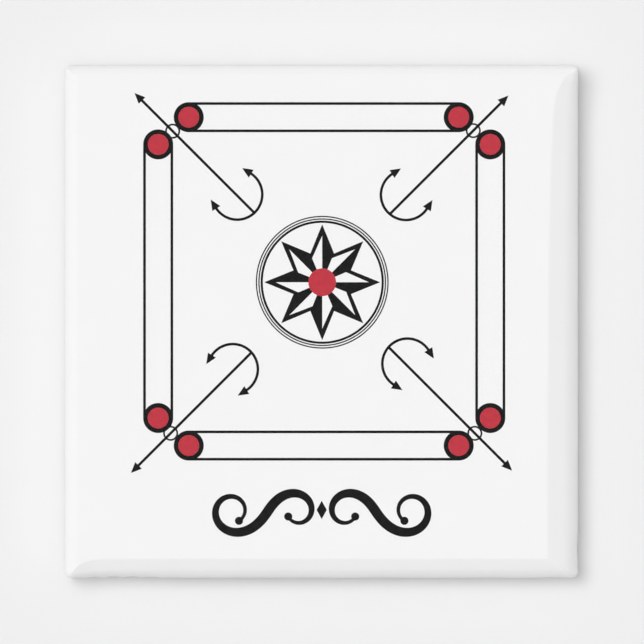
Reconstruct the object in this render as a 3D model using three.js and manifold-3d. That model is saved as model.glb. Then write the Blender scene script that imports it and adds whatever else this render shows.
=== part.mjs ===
// A two-inch square button magnet, printed with the playing layout of a carrom board.
// It lies on its back with the picture up: +Z out of the picture, +Y to the picture's top, +X to its
// right, and the origin on the magnet's resting face under the middle. Millimetres throughout.
//
// The button is built the way a button press builds one: a domed tinplate shell, the printed paper
// over it, a clear film over the paper, both turned in round the shell's edge, and a tinplate back
// pressed in behind them, with a ferrite disc taped into its round pocket. The marks of the picture
// are thin ink patches that lie on the paper under the film.
import * as THREE from "three";
import { mergeVertices } from "three/addons/utils/BufferGeometryUtils.js";
import Module from "manifold-3d";

// ---- Driving dimensions: the button ----
const SIDE = 50.8; // two inches across, outside the film
const HEIGHT = 5.0; // from the magnet's resting face to the picture
const RIM_HEIGHT = 0.6; // the turned edge stays this far off the surface that the magnet grips
const CORNER_RADIUS = 0.65; // plan radius of the four corners
const INNER_CORNER_RADIUS = 0.05; // and the least that it falls to on the outlines further in
const CREASE_INSET = 2.0; // the flat picture ends here, in a soft crease
const BEVEL_ANGLE = THREE.MathUtils.degToRad(17); // slope of the narrow bevel outside the crease
const SHOULDER_INSET = 1.1; // the bevel starts to bend down here
const EDGE_INSET = 0.2; // and from here it turns tightly over the edge, and ends upright
const EDGE_ANGLE = THREE.MathUtils.degToRad(38); // slope where the two bends meet

// Sheet thicknesses, and the hairline left between two sheets
const FILM = 0.05;
const INK = 0.02;
const PAPER = 0.1;
const TINPLATE = 0.25;
const HAIRLINE = 0.005;
const SHELL_CLEARANCE = 0.02;

// How deep each sheet lies under the outside of the film
const INK_DEPTH = FILM + HAIRLINE;
const PAPER_DEPTH = INK_DEPTH + INK + HAIRLINE;
const SHELL_DEPTH = PAPER_DEPTH + PAPER + SHELL_CLEARANCE;

// The film and the paper turn in round the shell's lower edge and run up inside it
const TURN_RADIUS = SHELL_DEPTH + TINPLATE / 2;
const HEM_TOP = 2.6;

// The back plate: a square pan with a raised field and a round pocket
const PLATE_CLEARANCE = 0.02;
const PLATE_EDGE = 2 * TURN_RADIUS + PLATE_CLEARANCE; // inset of the pan's outer wall
const PLATE_RIM = RIM_HEIGHT + 0.1;
const PLATE_FLOOR = 1.25; // underside of the border inside the rim
const PLATE_STEP_INSET = 3.0; // the field steps up here
const PLATE_STEP = 0.3;
const POCKET_RADIUS = 13.1;
const POCKET_FLOOR = 3.2;

// The magnet and its double-sided tape
const MAGNET_RADIUS = 12.7;
const MAGNET_THICKNESS = 3.0;
const MAGNET_CHAMFER = 0.25;
const TAPE_RADIUS = 11.5;
const TAPE_GAP = 0.02;

// ---- Driving dimensions: the picture ----
const LAYOUT_CENTRE = new THREE.Vector2(0.1, 4.0); // the diagonals cross here, above the middle
const FRAME_CENTRE = new THREE.Vector2(0.2, 4.0); // the four base lines are printed round this point
const STAR_CENTRE = new THREE.Vector2(0.05, 3.9);

// Base lines: two fine rules that end in a thick ring round a red disc
const RING_RADIUS = 1.48;
const RED_RADIUS = 1.04;
const RULE_WIDTH = 0.26;
const BASE_LINES = [
  { name: "top", turn: 0, across: 16.21, along: 13.34, ends: ["left", "right"] },
  { name: "left", turn: Math.PI / 2, across: 16.36, along: 13.52, ends: ["lower", "upper"] },
  { name: "bottom", turn: Math.PI, across: 16.24, along: 13.34, ends: ["right", "left"] },
  { name: "right", turn: -Math.PI / 2, across: 16.46, along: 13.52, ends: ["upper", "lower"] },
];
const END_SIDES = [-1, 1]; // the two ends of a base line, in the order of its list of ends

// Corner marks: an arrow along the diagonal, a small circle on it, and a double-headed arc at its foot.
// tip and arc are how far the arrow's tip and the arc's centre lie from the layout's centre, along X and
// along Y, and so is spot for the small circle. aside is how far the arc's centre lies to the left of
// the arrow's line.
const CORNER_MARKS = [
  { name: "top_right", turn: Math.PI / 4, tip: 18.35, spot: 14.88, arc: 8.38, aside: 0.21 },
  { name: "top_left", turn: (3 * Math.PI) / 4, tip: 18.6, spot: 14.83, arc: 8.51, aside: -0.08 },
  { name: "bottom_left", turn: (-3 * Math.PI) / 4, tip: 18.95, spot: 15.03, arc: 8.79, aside: -0.14 },
  { name: "bottom_right", turn: -Math.PI / 4, tip: 18.72, spot: 15.03, arc: 8.26, aside: 0.16 },
];
const DIAGONAL_WIDTH = 0.26;
const SMALL_CIRCLE_RADIUS = 0.74;
const SMALL_CIRCLE_WIDTH = 0.17;
const ARC_RADIUS = 2.48;
const ARC_WIDTH = 0.26;
const ARC_HALF_ANGLE = THREE.MathUtils.degToRad(103);
const ARROW_LENGTH = 1.05;
const ARROW_WIDTH = 0.92;
const ARROW_OVERLAP = 0.08; // how far a shaft or an arc runs into its arrowhead
const INK_CLEARANCE = 0.02; // bare paper left between two marks that meet

// The centre: three rings round an eight-pointed star with a red disc
const CENTRE_RINGS = [
  { name: "outer_centre_ring", radius: 6.5, width: 0.12 },
  { name: "middle_centre_ring", radius: 6.25, width: 0.12 },
  { name: "inner_centre_ring", radius: 5.98, width: 0.22 },
];
const STAR_POINTS = 8;
const STAR_TIP = 5.73;
const STAR_NOTCH = 3.07;
const STAR_DISC = 1.39;
const FACET_TIP = 4.61; // each point has one light facet, bare paper, on its left half
const FACET_SIDE = 2.56;
const FACET_TURN = THREE.MathUtils.degToRad(23);

// The ornament under the layout: two mirrored scrolls, thick in the middle, and a small diamond.
// Each scroll is an S-shaped stroke that starts at its middle and rolls up towards both ends.
const ORNAMENT_CENTRE = new THREE.Vector2(0, -18.6);
const SCROLL_MIDDLE = new THREE.Vector2(5.3, -0.1); // from the ornament's centre
const SCROLL_HEADING = THREE.MathUtils.degToRad(-56);
const SCROLL_INNER = { direction: -1, length: 9.2, turn: THREE.MathUtils.degToRad(300) };
const SCROLL_OUTER = { direction: 1, length: 13.0, turn: THREE.MathUtils.degToRad(385) };
const SCROLL_TIGHTENING = 1.6; // how fast the stroke rolls up towards its ends
const SCROLL_THIN = 0.32;
const SCROLL_THICK = 1.0;
const SCROLL_TAPER = 1.5; // how soon the stroke thins away from its middle
const SCROLL_BALL = 0.4; // radius of the drop that ends each stroke
const DIAMOND_WIDTH = 1.0;
const DIAMOND_HEIGHT = 1.8;

// ---- Fineness of the faceted solids ----
const CORNER_STEPS = 4;
const SHOULDER_STEPS = 2;
const EDGE_STEPS = 4;
const TURN_STEPS = 6;
const MAGNET_STEPS = 48;
const SCROLL_STEPS = 26; // to each half of a scroll's stroke
// An arc in an outline is drawn with twice this many sides.
const RING_STEPS = 28; // a centre ring
const ARC_STEPS = 14; // the double-headed arc
const DISC_STEPS = 12; // a disc
const SMALL_STEPS = 8; // a small circle, or the end of a base line
const STAR_STEPS = 2; // the rim of the star's hole between two facets

// The shoulder's bends: the slope and the inset at which each one ends
const SHOULDER_BENDS = [
  { slope: EDGE_ANGLE, inset: EDGE_INSET, steps: SHOULDER_STEPS },
  { slope: Math.PI / 2, inset: 0, steps: EDGE_STEPS },
];

const MERGE_DISTANCE = 1e-4;

const wasm = await Module();
wasm.setup();

// ---- Solids ----

function toManifold(geometry) {
  const bare = geometry.clone();
  bare.deleteAttribute("normal");
  bare.deleteAttribute("uv");
  const merged = mergeVertices(bare, MERGE_DISTANCE);
  return new wasm.Manifold(
    new wasm.Mesh({
      numProp: 3,
      vertProperties: merged.attributes.position.array,
      triVerts: new Uint32Array(merged.index.array),
    }),
  );
}

function fromManifold(solid) {
  const mesh = solid.getMesh();
  const geometry = new THREE.BufferGeometry();
  geometry.setAttribute("position", new THREE.BufferAttribute(mesh.vertProperties, 3));
  geometry.setIndex(new THREE.BufferAttribute(mesh.triVerts, 1));
  geometry.computeVertexNormals();
  return geometry;
}

// One body from several that overlap, less the ones to cut away.
function joined(parts, cuts = []) {
  let solid = toManifold(parts[0]);
  for (const part of parts.slice(1)) solid = solid.add(toManifold(part));
  for (const cut of cuts) solid = solid.subtract(toManifold(cut));
  return fromManifold(solid);
}

// The button's outline, moved in by inset, at height z. Every outline has the same number of points.
function squareOutline(inset, z) {
  const radius = Math.max(CORNER_RADIUS - inset, INNER_CORNER_RADIUS);
  const reach = SIDE / 2 - inset - radius;
  const points = [];
  for (let corner = 0; corner < 4; corner += 1) {
    const start = (corner * Math.PI) / 2;
    const middle = start + Math.PI / 4;
    const centreX = Math.SQRT2 * reach * Math.cos(middle);
    const centreY = Math.SQRT2 * reach * Math.sin(middle);
    for (let step = 0; step <= CORNER_STEPS; step += 1) {
      const angle = start + (step / CORNER_STEPS) * (Math.PI / 2);
      points.push([centreX + radius * Math.cos(angle), centreY + radius * Math.sin(angle), z]);
    }
  }
  return points;
}

// A closed solid swept round the square: profile is a list of [inset, z] that starts at the middle of
// the upper side, runs out over the edge and comes back along the lower side.
function sweptSquare(profile) {
  const rings = profile.map(([inset, z]) => squareOutline(inset, z));
  const count = rings[0].length;
  const positions = rings.flat(2);
  const indices = [];
  for (let ring = 0; ring < rings.length - 1; ring += 1) {
    for (let point = 0; point < count; point += 1) {
      const next = (point + 1) % count;
      const upper = ring * count;
      const lower = upper + count;
      indices.push(upper + point, lower + point, lower + next);
      indices.push(upper + point, lower + next, upper + next);
    }
  }
  const last = (rings.length - 1) * count;
  for (let point = 1; point < count - 1; point += 1) {
    indices.push(0, point, point + 1);
    indices.push(last, last + point + 1, last + point);
  }
  const geometry = new THREE.BufferGeometry();
  geometry.setAttribute("position", new THREE.Float32BufferAttribute(positions, 3));
  geometry.setIndex(indices);
  geometry.computeVertexNormals();
  return geometry;
}

// ---- The wrapped sheets ----

// Picture, bevel and shoulder down to the top of the upright skirt, at a depth under the outside of the
// film. Each of the shoulder's two bends is an arc between two slopes.
function outsideProfile(depth) {
  const profile = [[CREASE_INSET + depth * Math.tan(BEVEL_ANGLE / 2), HEIGHT - depth]];
  let slope = BEVEL_ANGLE;
  let inset = SHOULDER_INSET;
  let z = HEIGHT - (CREASE_INSET - SHOULDER_INSET) * Math.tan(BEVEL_ANGLE);
  profile.push([inset + depth * Math.sin(slope), z - depth * Math.cos(slope)]);
  for (const bend of SHOULDER_BENDS) {
    const radius = (inset - bend.inset) / (Math.sin(bend.slope) - Math.sin(slope));
    const centre = [inset + radius * Math.sin(slope), z - radius * Math.cos(slope)];
    for (let step = 1; step <= bend.steps; step += 1) {
      const angle = slope + (step / bend.steps) * (bend.slope - slope);
      const reach = radius - depth;
      profile.push([centre[0] - reach * Math.sin(angle), centre[1] + reach * Math.cos(angle)]);
    }
    slope = bend.slope;
    inset = bend.inset;
    z = centre[1] + radius * Math.cos(slope);
  }
  return profile;
}

// The turn round the shell's lower edge, and the hem that runs up inside.
function hemProfile(depth) {
  const radius = TURN_RADIUS - depth;
  const profile = [];
  for (let step = 0; step <= TURN_STEPS; step += 1) {
    const angle = (step / TURN_STEPS) * Math.PI;
    profile.push([
      TURN_RADIUS - radius * Math.cos(angle),
      RIM_HEIGHT + TURN_RADIUS - radius * Math.sin(angle),
    ]);
  }
  profile.push([2 * TURN_RADIUS - depth, HEM_TOP]);
  return profile;
}

function wrappedSheet(depth, thickness) {
  const outside = [...outsideProfile(depth), ...hemProfile(depth)];
  const inside = [...outsideProfile(depth + thickness), ...hemProfile(depth + thickness)];
  return sweptSquare([...outside, ...inside.reverse()]);
}

function clearFilm() {
  return wrappedSheet(0, FILM);
}

function printedPaper() {
  return wrappedSheet(PAPER_DEPTH, PAPER);
}

function frontShell() {
  const edge = RIM_HEIGHT + TURN_RADIUS;
  const outside = [...outsideProfile(SHELL_DEPTH), [SHELL_DEPTH, edge]];
  const inner = SHELL_DEPTH + TINPLATE;
  const inside = [...outsideProfile(inner), [inner, edge]];
  return sweptSquare([...outside, ...inside.reverse()]);
}

// ---- The back ----

function lathe(profile, steps) {
  return new THREE.LatheGeometry(
    profile.map(([radius, height]) => new THREE.Vector2(radius, height)),
    steps,
  ).rotateX(Math.PI / 2);
}

// A disc that stands on its lower face, with its edges chamfered.
function disc(radius, bottom, top, chamfer, steps) {
  return lathe(
    [
      [0, bottom],
      [radius - chamfer, bottom],
      [radius, bottom + chamfer],
      [radius, top - chamfer],
      [radius - chamfer, top],
      [0, top],
    ],
    steps,
  );
}

function backPlate() {
  const floorTop = PLATE_FLOOR + TINPLATE;
  const fieldInset = PLATE_STEP_INSET + PLATE_STEP;
  const fieldUnder = PLATE_FLOOR + PLATE_STEP;
  const pan = sweptSquare([
    [fieldInset, floorTop + PLATE_STEP],
    [PLATE_STEP_INSET, floorTop],
    [PLATE_EDGE + TINPLATE, floorTop],
    [PLATE_EDGE, floorTop - TINPLATE],
    [PLATE_EDGE, PLATE_RIM],
    [PLATE_EDGE + TINPLATE, PLATE_RIM],
    [PLATE_EDGE + TINPLATE, PLATE_FLOOR],
    [PLATE_STEP_INSET, PLATE_FLOOR],
    [fieldInset, fieldUnder],
  ]);
  const middleOfWall = POCKET_RADIUS + TINPLATE / 2;
  const hole = lathe(
    [
      [0, 0],
      [middleOfWall, 0],
      [middleOfWall, HEIGHT],
      [0, HEIGHT],
    ],
    MAGNET_STEPS,
  );
  const pocket = lathe(
    [
      [POCKET_RADIUS, fieldUnder],
      [POCKET_RADIUS + TINPLATE, fieldUnder],
      [POCKET_RADIUS + TINPLATE, POCKET_FLOOR],
      [POCKET_RADIUS, POCKET_FLOOR + TINPLATE],
      [0, POCKET_FLOOR + TINPLATE],
      [0, POCKET_FLOOR],
      [POCKET_RADIUS - TINPLATE, POCKET_FLOOR],
      [POCKET_RADIUS, POCKET_FLOOR - TINPLATE],
      [POCKET_RADIUS, fieldUnder],
    ],
    MAGNET_STEPS,
  );
  const opened = toManifold(pan).subtract(toManifold(hole));
  return fromManifold(opened.add(toManifold(pocket)));
}

function magnetDisc() {
  return disc(MAGNET_RADIUS, 0, MAGNET_THICKNESS, MAGNET_CHAMFER, MAGNET_STEPS);
}

function mountingTape() {
  const bottom = MAGNET_THICKNESS + TAPE_GAP;
  const top = POCKET_FLOOR - TAPE_GAP;
  return disc(TAPE_RADIUS, bottom, top, TAPE_GAP, MAGNET_STEPS);
}

// ---- Ink ----

// An outline becomes a patch of ink, lying on the paper.
function inkPatch(shape, steps) {
  const patch = new THREE.ExtrudeGeometry(shape, {
    depth: INK,
    bevelEnabled: false,
    curveSegments: steps,
  });
  return patch.translate(0, 0, HEIGHT - INK_DEPTH - INK);
}

// A cutter with the plan of a disc, much taller than the ink.
function inkCutter(x, y, radius) {
  const cutter = new THREE.CylinderGeometry(radius, radius, HEIGHT, 2 * DISC_STEPS);
  cutter.rotateX(Math.PI / 2);
  return cutter.translate(x, y, HEIGHT);
}

function circlePath(x, y, radius) {
  return new THREE.Path().absarc(x, y, radius, 0, 2 * Math.PI, false);
}

function discShape(x, y, radius) {
  return new THREE.Shape().absarc(x, y, radius, 0, 2 * Math.PI, false);
}

function ringShape(radius, width) {
  const ring = discShape(0, 0, radius + width / 2);
  ring.holes.push(circlePath(0, 0, radius - width / 2));
  return ring;
}

function polygonShape(corners) {
  return new THREE.Shape(corners.map(([x, y]) => new THREE.Vector2(x, y)));
}

// A plain triangle with a flat back: its tip at (x, y), pointing along heading.
function arrowHead(x, y, heading) {
  const head = polygonShape([
    [0, 0],
    [-ARROW_LENGTH, ARROW_WIDTH / 2],
    [-ARROW_LENGTH, -ARROW_WIDTH / 2],
  ]);
  return inkPatch(head, 1).rotateZ(heading).translate(x, y, 0);
}

// A base line along X, round the origin. Its outline is a long round-ended slot, with a hole for each
// red disc and one between the rules, whose ends are the outsides of the two rings.
function baseLine(along) {
  const line = new THREE.Shape();
  line.absarc(along, 0, RING_RADIUS, -Math.PI / 2, Math.PI / 2, false);
  line.absarc(-along, 0, RING_RADIUS, Math.PI / 2, (3 * Math.PI) / 2, false);
  const hole = RED_RADIUS + INK_CLEARANCE / 2;
  line.holes.push(circlePath(along, 0, hole), circlePath(-along, 0, hole));
  const end = Math.asin((RING_RADIUS - RULE_WIDTH) / RING_RADIUS);
  const between = new THREE.Path();
  between.absarc(along, 0, RING_RADIUS, Math.PI - end, Math.PI + end, false);
  between.absarc(-along, 0, RING_RADIUS, -end, end, false);
  line.holes.push(between);
  return inkPatch(line, SMALL_STEPS);
}

function basePoint(side, end) {
  const point = new THREE.Vector2(end * side.along, side.across);
  return point.rotateAround(new THREE.Vector2(), side.turn).add(FRAME_CENTRE);
}

function redDisc(centre, radius, clearance) {
  return inkPatch(discShape(centre.x, centre.y, radius - clearance / 2), DISC_STEPS);
}

// A corner mark is drawn with its arrow along +X from the layout's centre, then turned to its corner.
function cornerMark(mark) {
  const foot = mark.arc * Math.SQRT2;
  const tip = mark.tip * Math.SQRT2;
  const inner = foot - ARC_RADIUS;
  const shaft = new THREE.Shape();
  shaft.moveTo(inner, -DIAGONAL_WIDTH / 2);
  shaft.lineTo(tip - ARROW_LENGTH + ARROW_OVERLAP, -DIAGONAL_WIDTH / 2);
  shaft.lineTo(tip - ARROW_LENGTH + ARROW_OVERLAP, DIAGONAL_WIDTH / 2);
  shaft.lineTo(inner, DIAGONAL_WIDTH / 2);
  const parts = [inkPatch(shaft, 1), arrowHead(tip, 0, 0)];

  const circle = inkPatch(
    ringShape(SMALL_CIRCLE_RADIUS - SMALL_CIRCLE_WIDTH / 2, SMALL_CIRCLE_WIDTH),
    SMALL_STEPS,
  );
  parts.push(circle.translate(mark.spot * Math.SQRT2, 0, 0));

  const from = Math.PI - ARC_HALF_ANGLE;
  const to = Math.PI + ARC_HALF_ANGLE;
  const band = new THREE.Shape();
  band.absarc(foot, mark.aside, ARC_RADIUS + ARC_WIDTH / 2, from, to, false);
  band.absarc(foot, mark.aside, ARC_RADIUS - ARC_WIDTH / 2, to, from, true);
  parts.push(inkPatch(band, ARC_STEPS));
  for (const side of END_SIDES) {
    const angle = Math.PI + side * ARC_HALF_ANGLE;
    const heading = angle + (side * Math.PI) / 2;
    const ahead = ARROW_LENGTH - ARROW_OVERLAP;
    parts.push(
      arrowHead(
        foot + ARC_RADIUS * Math.cos(angle) + ahead * Math.cos(heading),
        mark.aside + ARC_RADIUS * Math.sin(angle) + ahead * Math.sin(heading),
        heading,
      ),
    );
  }
  for (const part of parts) part.rotateZ(mark.turn).translate(LAYOUT_CENTRE.x, LAYOUT_CENTRE.y, 0);

  // The thick rings are printed over the small circle, so it stops where they begin.
  const cuts = BASE_LINES.flatMap((side) =>
    END_SIDES.map((end) => basePoint(side, end)),
  ).map((point) => inkCutter(point.x, point.y, RING_RADIUS + INK_CLEARANCE));
  return joined(parts, cuts);
}

function polar(radius, angle) {
  return [radius * Math.cos(angle), radius * Math.sin(angle)];
}

// The star is black, with a light facet left open on one half of each point. The open facets run into
// the round hole for the red disc, so together they are one hole.
function centreStar() {
  const step = (2 * Math.PI) / STAR_POINTS;
  const corners = [];
  const open = new THREE.Path().moveTo(...polar(FACET_TIP, 0));
  for (let point = 0; point < STAR_POINTS; point += 1) {
    const axis = point * step;
    corners.push(polar(STAR_TIP, axis), polar(STAR_NOTCH, axis + step / 2));
    open.lineTo(...polar(FACET_SIDE, axis + FACET_TURN));
    open.absarc(0, 0, STAR_DISC, axis + FACET_TURN, axis + step, false);
    open.lineTo(...polar(FACET_TIP, axis + step));
  }
  const star = polygonShape(corners);
  star.holes.push(open);
  return inkPatch(star, STAR_STEPS).translate(STAR_CENTRE.x, STAR_CENTRE.y, 0);
}

// One half of a scroll's centre line, from the middle of the stroke out to its end.
function scrollHalf({ direction, length, turn }) {
  const step = (direction * length) / SCROLL_STEPS;
  const at = SCROLL_MIDDLE.clone();
  const half = [];
  for (let index = 0; index <= SCROLL_STEPS; index += 1) {
    const share = index / SCROLL_STEPS;
    half.push({ at: at.clone(), heading: SCROLL_HEADING + turn * share ** SCROLL_TIGHTENING, share });
    const next = SCROLL_HEADING + turn * (share + 0.5 / SCROLL_STEPS) ** SCROLL_TIGHTENING;
    at.x += step * Math.cos(next);
    at.y += step * Math.sin(next);
  }
  return half;
}

// side is 1 for the right-hand scroll and -1 for its mirror image.
function scroll(side) {
  const inner = scrollHalf(SCROLL_INNER).reverse();
  const outer = scrollHalf(SCROLL_OUTER).slice(1);
  const left = [];
  const right = [];
  for (const { at, heading, share } of [...inner, ...outer]) {
    const swell = Math.max(Math.cos((Math.PI / 2) * share), 0) ** SCROLL_TAPER;
    const half = (SCROLL_THIN + (SCROLL_THICK - SCROLL_THIN) * swell) / 2;
    const across = new THREE.Vector2(-Math.sin(heading), Math.cos(heading)).multiplyScalar(half);
    left.push(new THREE.Vector2(side * (at.x + across.x), at.y + across.y));
    right.push(new THREE.Vector2(side * (at.x - across.x), at.y - across.y));
  }
  const stroke = inkPatch(new THREE.Shape([...left, ...right.reverse()]), 1);
  const balls = [inner[0], outer[outer.length - 1]].map(({ at }) =>
    inkPatch(discShape(side * at.x, at.y, SCROLL_BALL), SMALL_STEPS),
  );
  return joined([stroke, ...balls]).translate(ORNAMENT_CENTRE.x, ORNAMENT_CENTRE.y, 0);
}

function diamond() {
  const shape = polygonShape([
    [DIAMOND_WIDTH / 2, 0],
    [0, DIAMOND_HEIGHT / 2],
    [-DIAMOND_WIDTH / 2, 0],
    [0, -DIAMOND_HEIGHT / 2],
  ]);
  return inkPatch(shape, 1).translate(ORNAMENT_CENTRE.x, ORNAMENT_CENTRE.y, 0);
}

// ---- Materials ----

function clearPlastic() {
  return new THREE.MeshStandardMaterial({
    color: 0xffffff,
    roughness: 0.08,
    metalness: 0,
    transparent: true,
    opacity: 0.12,
  });
}

function paperWhite() {
  return new THREE.MeshStandardMaterial({ color: 0xf5f5f5, roughness: 0.7, metalness: 0 });
}

function tinplate() {
  return new THREE.MeshStandardMaterial({ color: 0xb9bbbd, roughness: 0.35, metalness: 1 });
}

function ferrite() {
  return new THREE.MeshStandardMaterial({ color: 0x2b2c2e, roughness: 0.65, metalness: 0 });
}

function foamTape() {
  return new THREE.MeshStandardMaterial({ color: 0xe9e6dc, roughness: 0.9, metalness: 0 });
}

function blackInk() {
  return new THREE.MeshStandardMaterial({ color: 0x232323, roughness: 0.6, metalness: 0 });
}

function redInk() {
  return new THREE.MeshStandardMaterial({ color: 0xc63a49, roughness: 0.6, metalness: 0 });
}

// ---- Assembly ----

const magnet = new THREE.Group();

function addPart(name, geometry, material) {
  const mesh = new THREE.Mesh(geometry, material);
  mesh.name = name;
  magnet.add(mesh);
}

addPart("clear_film", clearFilm(), clearPlastic());
addPart("printed_paper", printedPaper(), paperWhite());
addPart("front_shell", frontShell(), tinplate());
addPart("back_plate", backPlate(), tinplate());
addPart("mounting_tape", mountingTape(), foamTape());
addPart("magnet_disc", magnetDisc(), ferrite());

for (const side of BASE_LINES) {
  const line = baseLine(side.along).translate(0, side.across, 0).rotateZ(side.turn);
  addPart(`base_line_${side.name}`, line.translate(FRAME_CENTRE.x, FRAME_CENTRE.y, 0), blackInk());
  END_SIDES.forEach((end, index) => {
    const spot = redDisc(basePoint(side, end), RED_RADIUS, INK_CLEARANCE);
    addPart(`base_disc_${side.name}_${side.ends[index]}`, spot, redInk());
  });
}

for (const mark of CORNER_MARKS) {
  addPart(`corner_mark_${mark.name}`, cornerMark(mark), blackInk());
}

for (const ring of CENTRE_RINGS) {
  const geometry = inkPatch(ringShape(ring.radius, ring.width), RING_STEPS);
  addPart(ring.name, geometry.translate(STAR_CENTRE.x, STAR_CENTRE.y, 0), blackInk());
}
addPart("centre_star", centreStar(), blackInk());
addPart("centre_disc", redDisc(STAR_CENTRE, STAR_DISC, 2 * INK_CLEARANCE), redInk());

addPart("ornament_left", scroll(-1), blackInk());
addPart("ornament_right", scroll(1), blackInk());
addPart("ornament_diamond", diamond(), blackInk());

export default magnet;
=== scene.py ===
"""The looks of a two-inch square button magnet that is printed with a carrom layout.

The button lies on its back with the picture up: +Z out of the picture, +Y to its top, +X to its right.
Everything is in metres, in the frame's own axes. The wrapped sheets are lofted again with real bends,
a shoulder that differs from side to side and the small dents of a hand press. The marks are cut again
as smooth ink, and the back, the magnet and its tape get their pressed, ground and cut surfaces.
"""
import math
import random

import bpy
import numpy as np
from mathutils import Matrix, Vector, geometry, noise


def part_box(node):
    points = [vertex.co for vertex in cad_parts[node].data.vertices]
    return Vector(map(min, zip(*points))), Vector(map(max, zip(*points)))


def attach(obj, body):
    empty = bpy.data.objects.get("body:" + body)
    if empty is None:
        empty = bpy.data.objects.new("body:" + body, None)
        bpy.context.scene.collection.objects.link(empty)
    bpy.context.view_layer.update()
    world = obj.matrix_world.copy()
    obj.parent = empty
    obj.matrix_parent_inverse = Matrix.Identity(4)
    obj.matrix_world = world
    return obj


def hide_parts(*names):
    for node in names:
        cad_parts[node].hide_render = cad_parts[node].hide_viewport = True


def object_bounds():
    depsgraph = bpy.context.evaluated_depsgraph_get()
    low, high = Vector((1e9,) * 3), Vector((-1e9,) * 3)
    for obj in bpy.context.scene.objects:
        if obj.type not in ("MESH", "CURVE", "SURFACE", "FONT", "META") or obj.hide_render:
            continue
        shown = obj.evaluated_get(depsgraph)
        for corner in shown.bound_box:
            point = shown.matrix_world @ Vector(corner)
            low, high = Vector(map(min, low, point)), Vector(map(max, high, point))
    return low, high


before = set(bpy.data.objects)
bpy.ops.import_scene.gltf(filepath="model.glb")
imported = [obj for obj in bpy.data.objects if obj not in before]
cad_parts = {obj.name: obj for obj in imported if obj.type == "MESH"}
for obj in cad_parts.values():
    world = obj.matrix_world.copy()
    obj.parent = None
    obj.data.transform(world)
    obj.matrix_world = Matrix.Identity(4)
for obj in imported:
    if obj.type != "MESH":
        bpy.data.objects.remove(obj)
CAD_LOW, CAD_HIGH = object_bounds()

MM = 0.001

# ---- The button: its box is the frame's ----
HALF_SIDE = CAD_HIGH.x
HEIGHT = CAD_HIGH.z
RIM_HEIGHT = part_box("clear_film")[0].z
PLATE_LOW, PLATE_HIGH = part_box("back_plate")
MAGNET_LOW, MAGNET_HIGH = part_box("magnet_disc")
TAPE_LOW, TAPE_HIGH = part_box("mounting_tape")

# "Drawn" below means as on a button that was pressed dead centre, with the same shoulder on all sides.
CORNER_RADIUS = 0.65 * MM
INNER_CORNER_RADIUS = 0.05 * MM
CREASE_INSET = 2.0 * MM  # the flat picture ends here, as drawn
BEVEL_ANGLE = math.radians(17)
SHOULDER_INSET = 1.1 * MM
EDGE_INSET = 0.2 * MM
EDGE_SHARE = 0.2  # the real edge is this much of the drawn one
EDGE_ANGLE = math.radians(45)

# Sheet thicknesses, and how deep each sheet lies under the outside of the film
FILM = 0.02 * MM
INK = 0.012 * MM
PAPER = 0.14 * MM
TINPLATE = 0.25 * MM
HAIRLINE = 0.004 * MM
SHELL_CLEARANCE = 0.02 * MM
INK_DEPTH = FILM + HAIRLINE
PAPER_DEPTH = INK_DEPTH + INK + HAIRLINE
SHELL_DEPTH = PAPER_DEPTH + PAPER + SHELL_CLEARANCE
SKIRT_PULL = 0.6  # the film and the paper under it are pulled this much closer to the outline on the skirt
TURN_RADIUS = SHELL_DEPTH + TINPLATE / 2
TURN_HEIGHT = RIM_HEIGHT + TURN_RADIUS
HEM_TOP = 2.6 * MM
CORE = 0.5 * MM  # at this depth the crease is where it was drawn on all sides
CORE_FOLLOWS = 0.8  # where a shoulder falls further than drawn, the core falls this much of it

# The shoulder differs from side to side, because the sheets were pressed a little off centre. Sides are
# in the order in which an outline passes them, anticlockwise from the top right corner. "crease" is where
# the flat picture ends, "soft" how far the crease spreads each way, and "steep" how much steeper than
# drawn the shoulder falls. Where a shoulder narrows towards the corner at one end of its side, "fades"
# says at which end, "fade" over what length, and "drift" how much of it goes slowly.
TOP = {"crease": 0.91 * MM, "soft": 0.13 * MM, "steep": 2.4, "fades": None}
LEFT = {"crease": 1.04 * MM, "soft": 0.4 * MM, "steep": 1.05, "fades": None}
BOTTOM = {
    "crease": 1.95 * MM, "soft": 0.12 * MM, "steep": 2.0,
    "fades": "start", "fade": 1.42 * MM, "drift": 0.0,
}
RIGHT = {
    "crease": 3.2 * MM, "soft": 0.12 * MM, "steep": 1.4,
    "fades": "end", "fade": 1.7 * MM, "drift": 0.3,
}
SIDES = [TOP, LEFT, BOTTOM, RIGHT]
DRAWN_SOFT = 0.12 * MM
FADE_POWER = 1.4
FADE_LEFT = 0.08  # share of the shoulder's width that is left at the corner
DRIFT_LENGTH = 12 * MM
SETTLED_INSET = 8 * MM  # from here inward the face is where it was drawn

# Small dents, waves and buckles of the skirt, always inward
DENT_DEPTH = 0.075 * MM
DENT_FROM_CORNER = 2.9 * MM
DENT_WIDTH = 0.9 * MM
PLEAT_DEPTH = 0.03 * MM
PLEAT_PITCH = 0.95 * MM
PLEAT_REACH = 2.0 * MM
WAVE_DEPTH = 0.012 * MM
WAVE_LENGTH = 8.5 * MM
BUCKLED_SIDE = SIDES.index(BOTTOM)  # the wrap buckled near the start of this side
BUCKLE_DEPTH = 0.18 * MM
BUCKLE_PITCH = 1.9 * MM
BUCKLE_MIDDLE = 6.0 * MM
BUCKLE_WIDTH = 3.4 * MM
DENT_INSET = 3.0 * MM  # no dent reaches further in than this
DENT_HEIGHT = 3.3 * MM  # dents are full up to here, and gone at the next
DENT_TOP = 4.4 * MM
DENT_SEED = 11
DENT_LEAST = 0.25  # the weakest dent's share of the full depth

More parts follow.
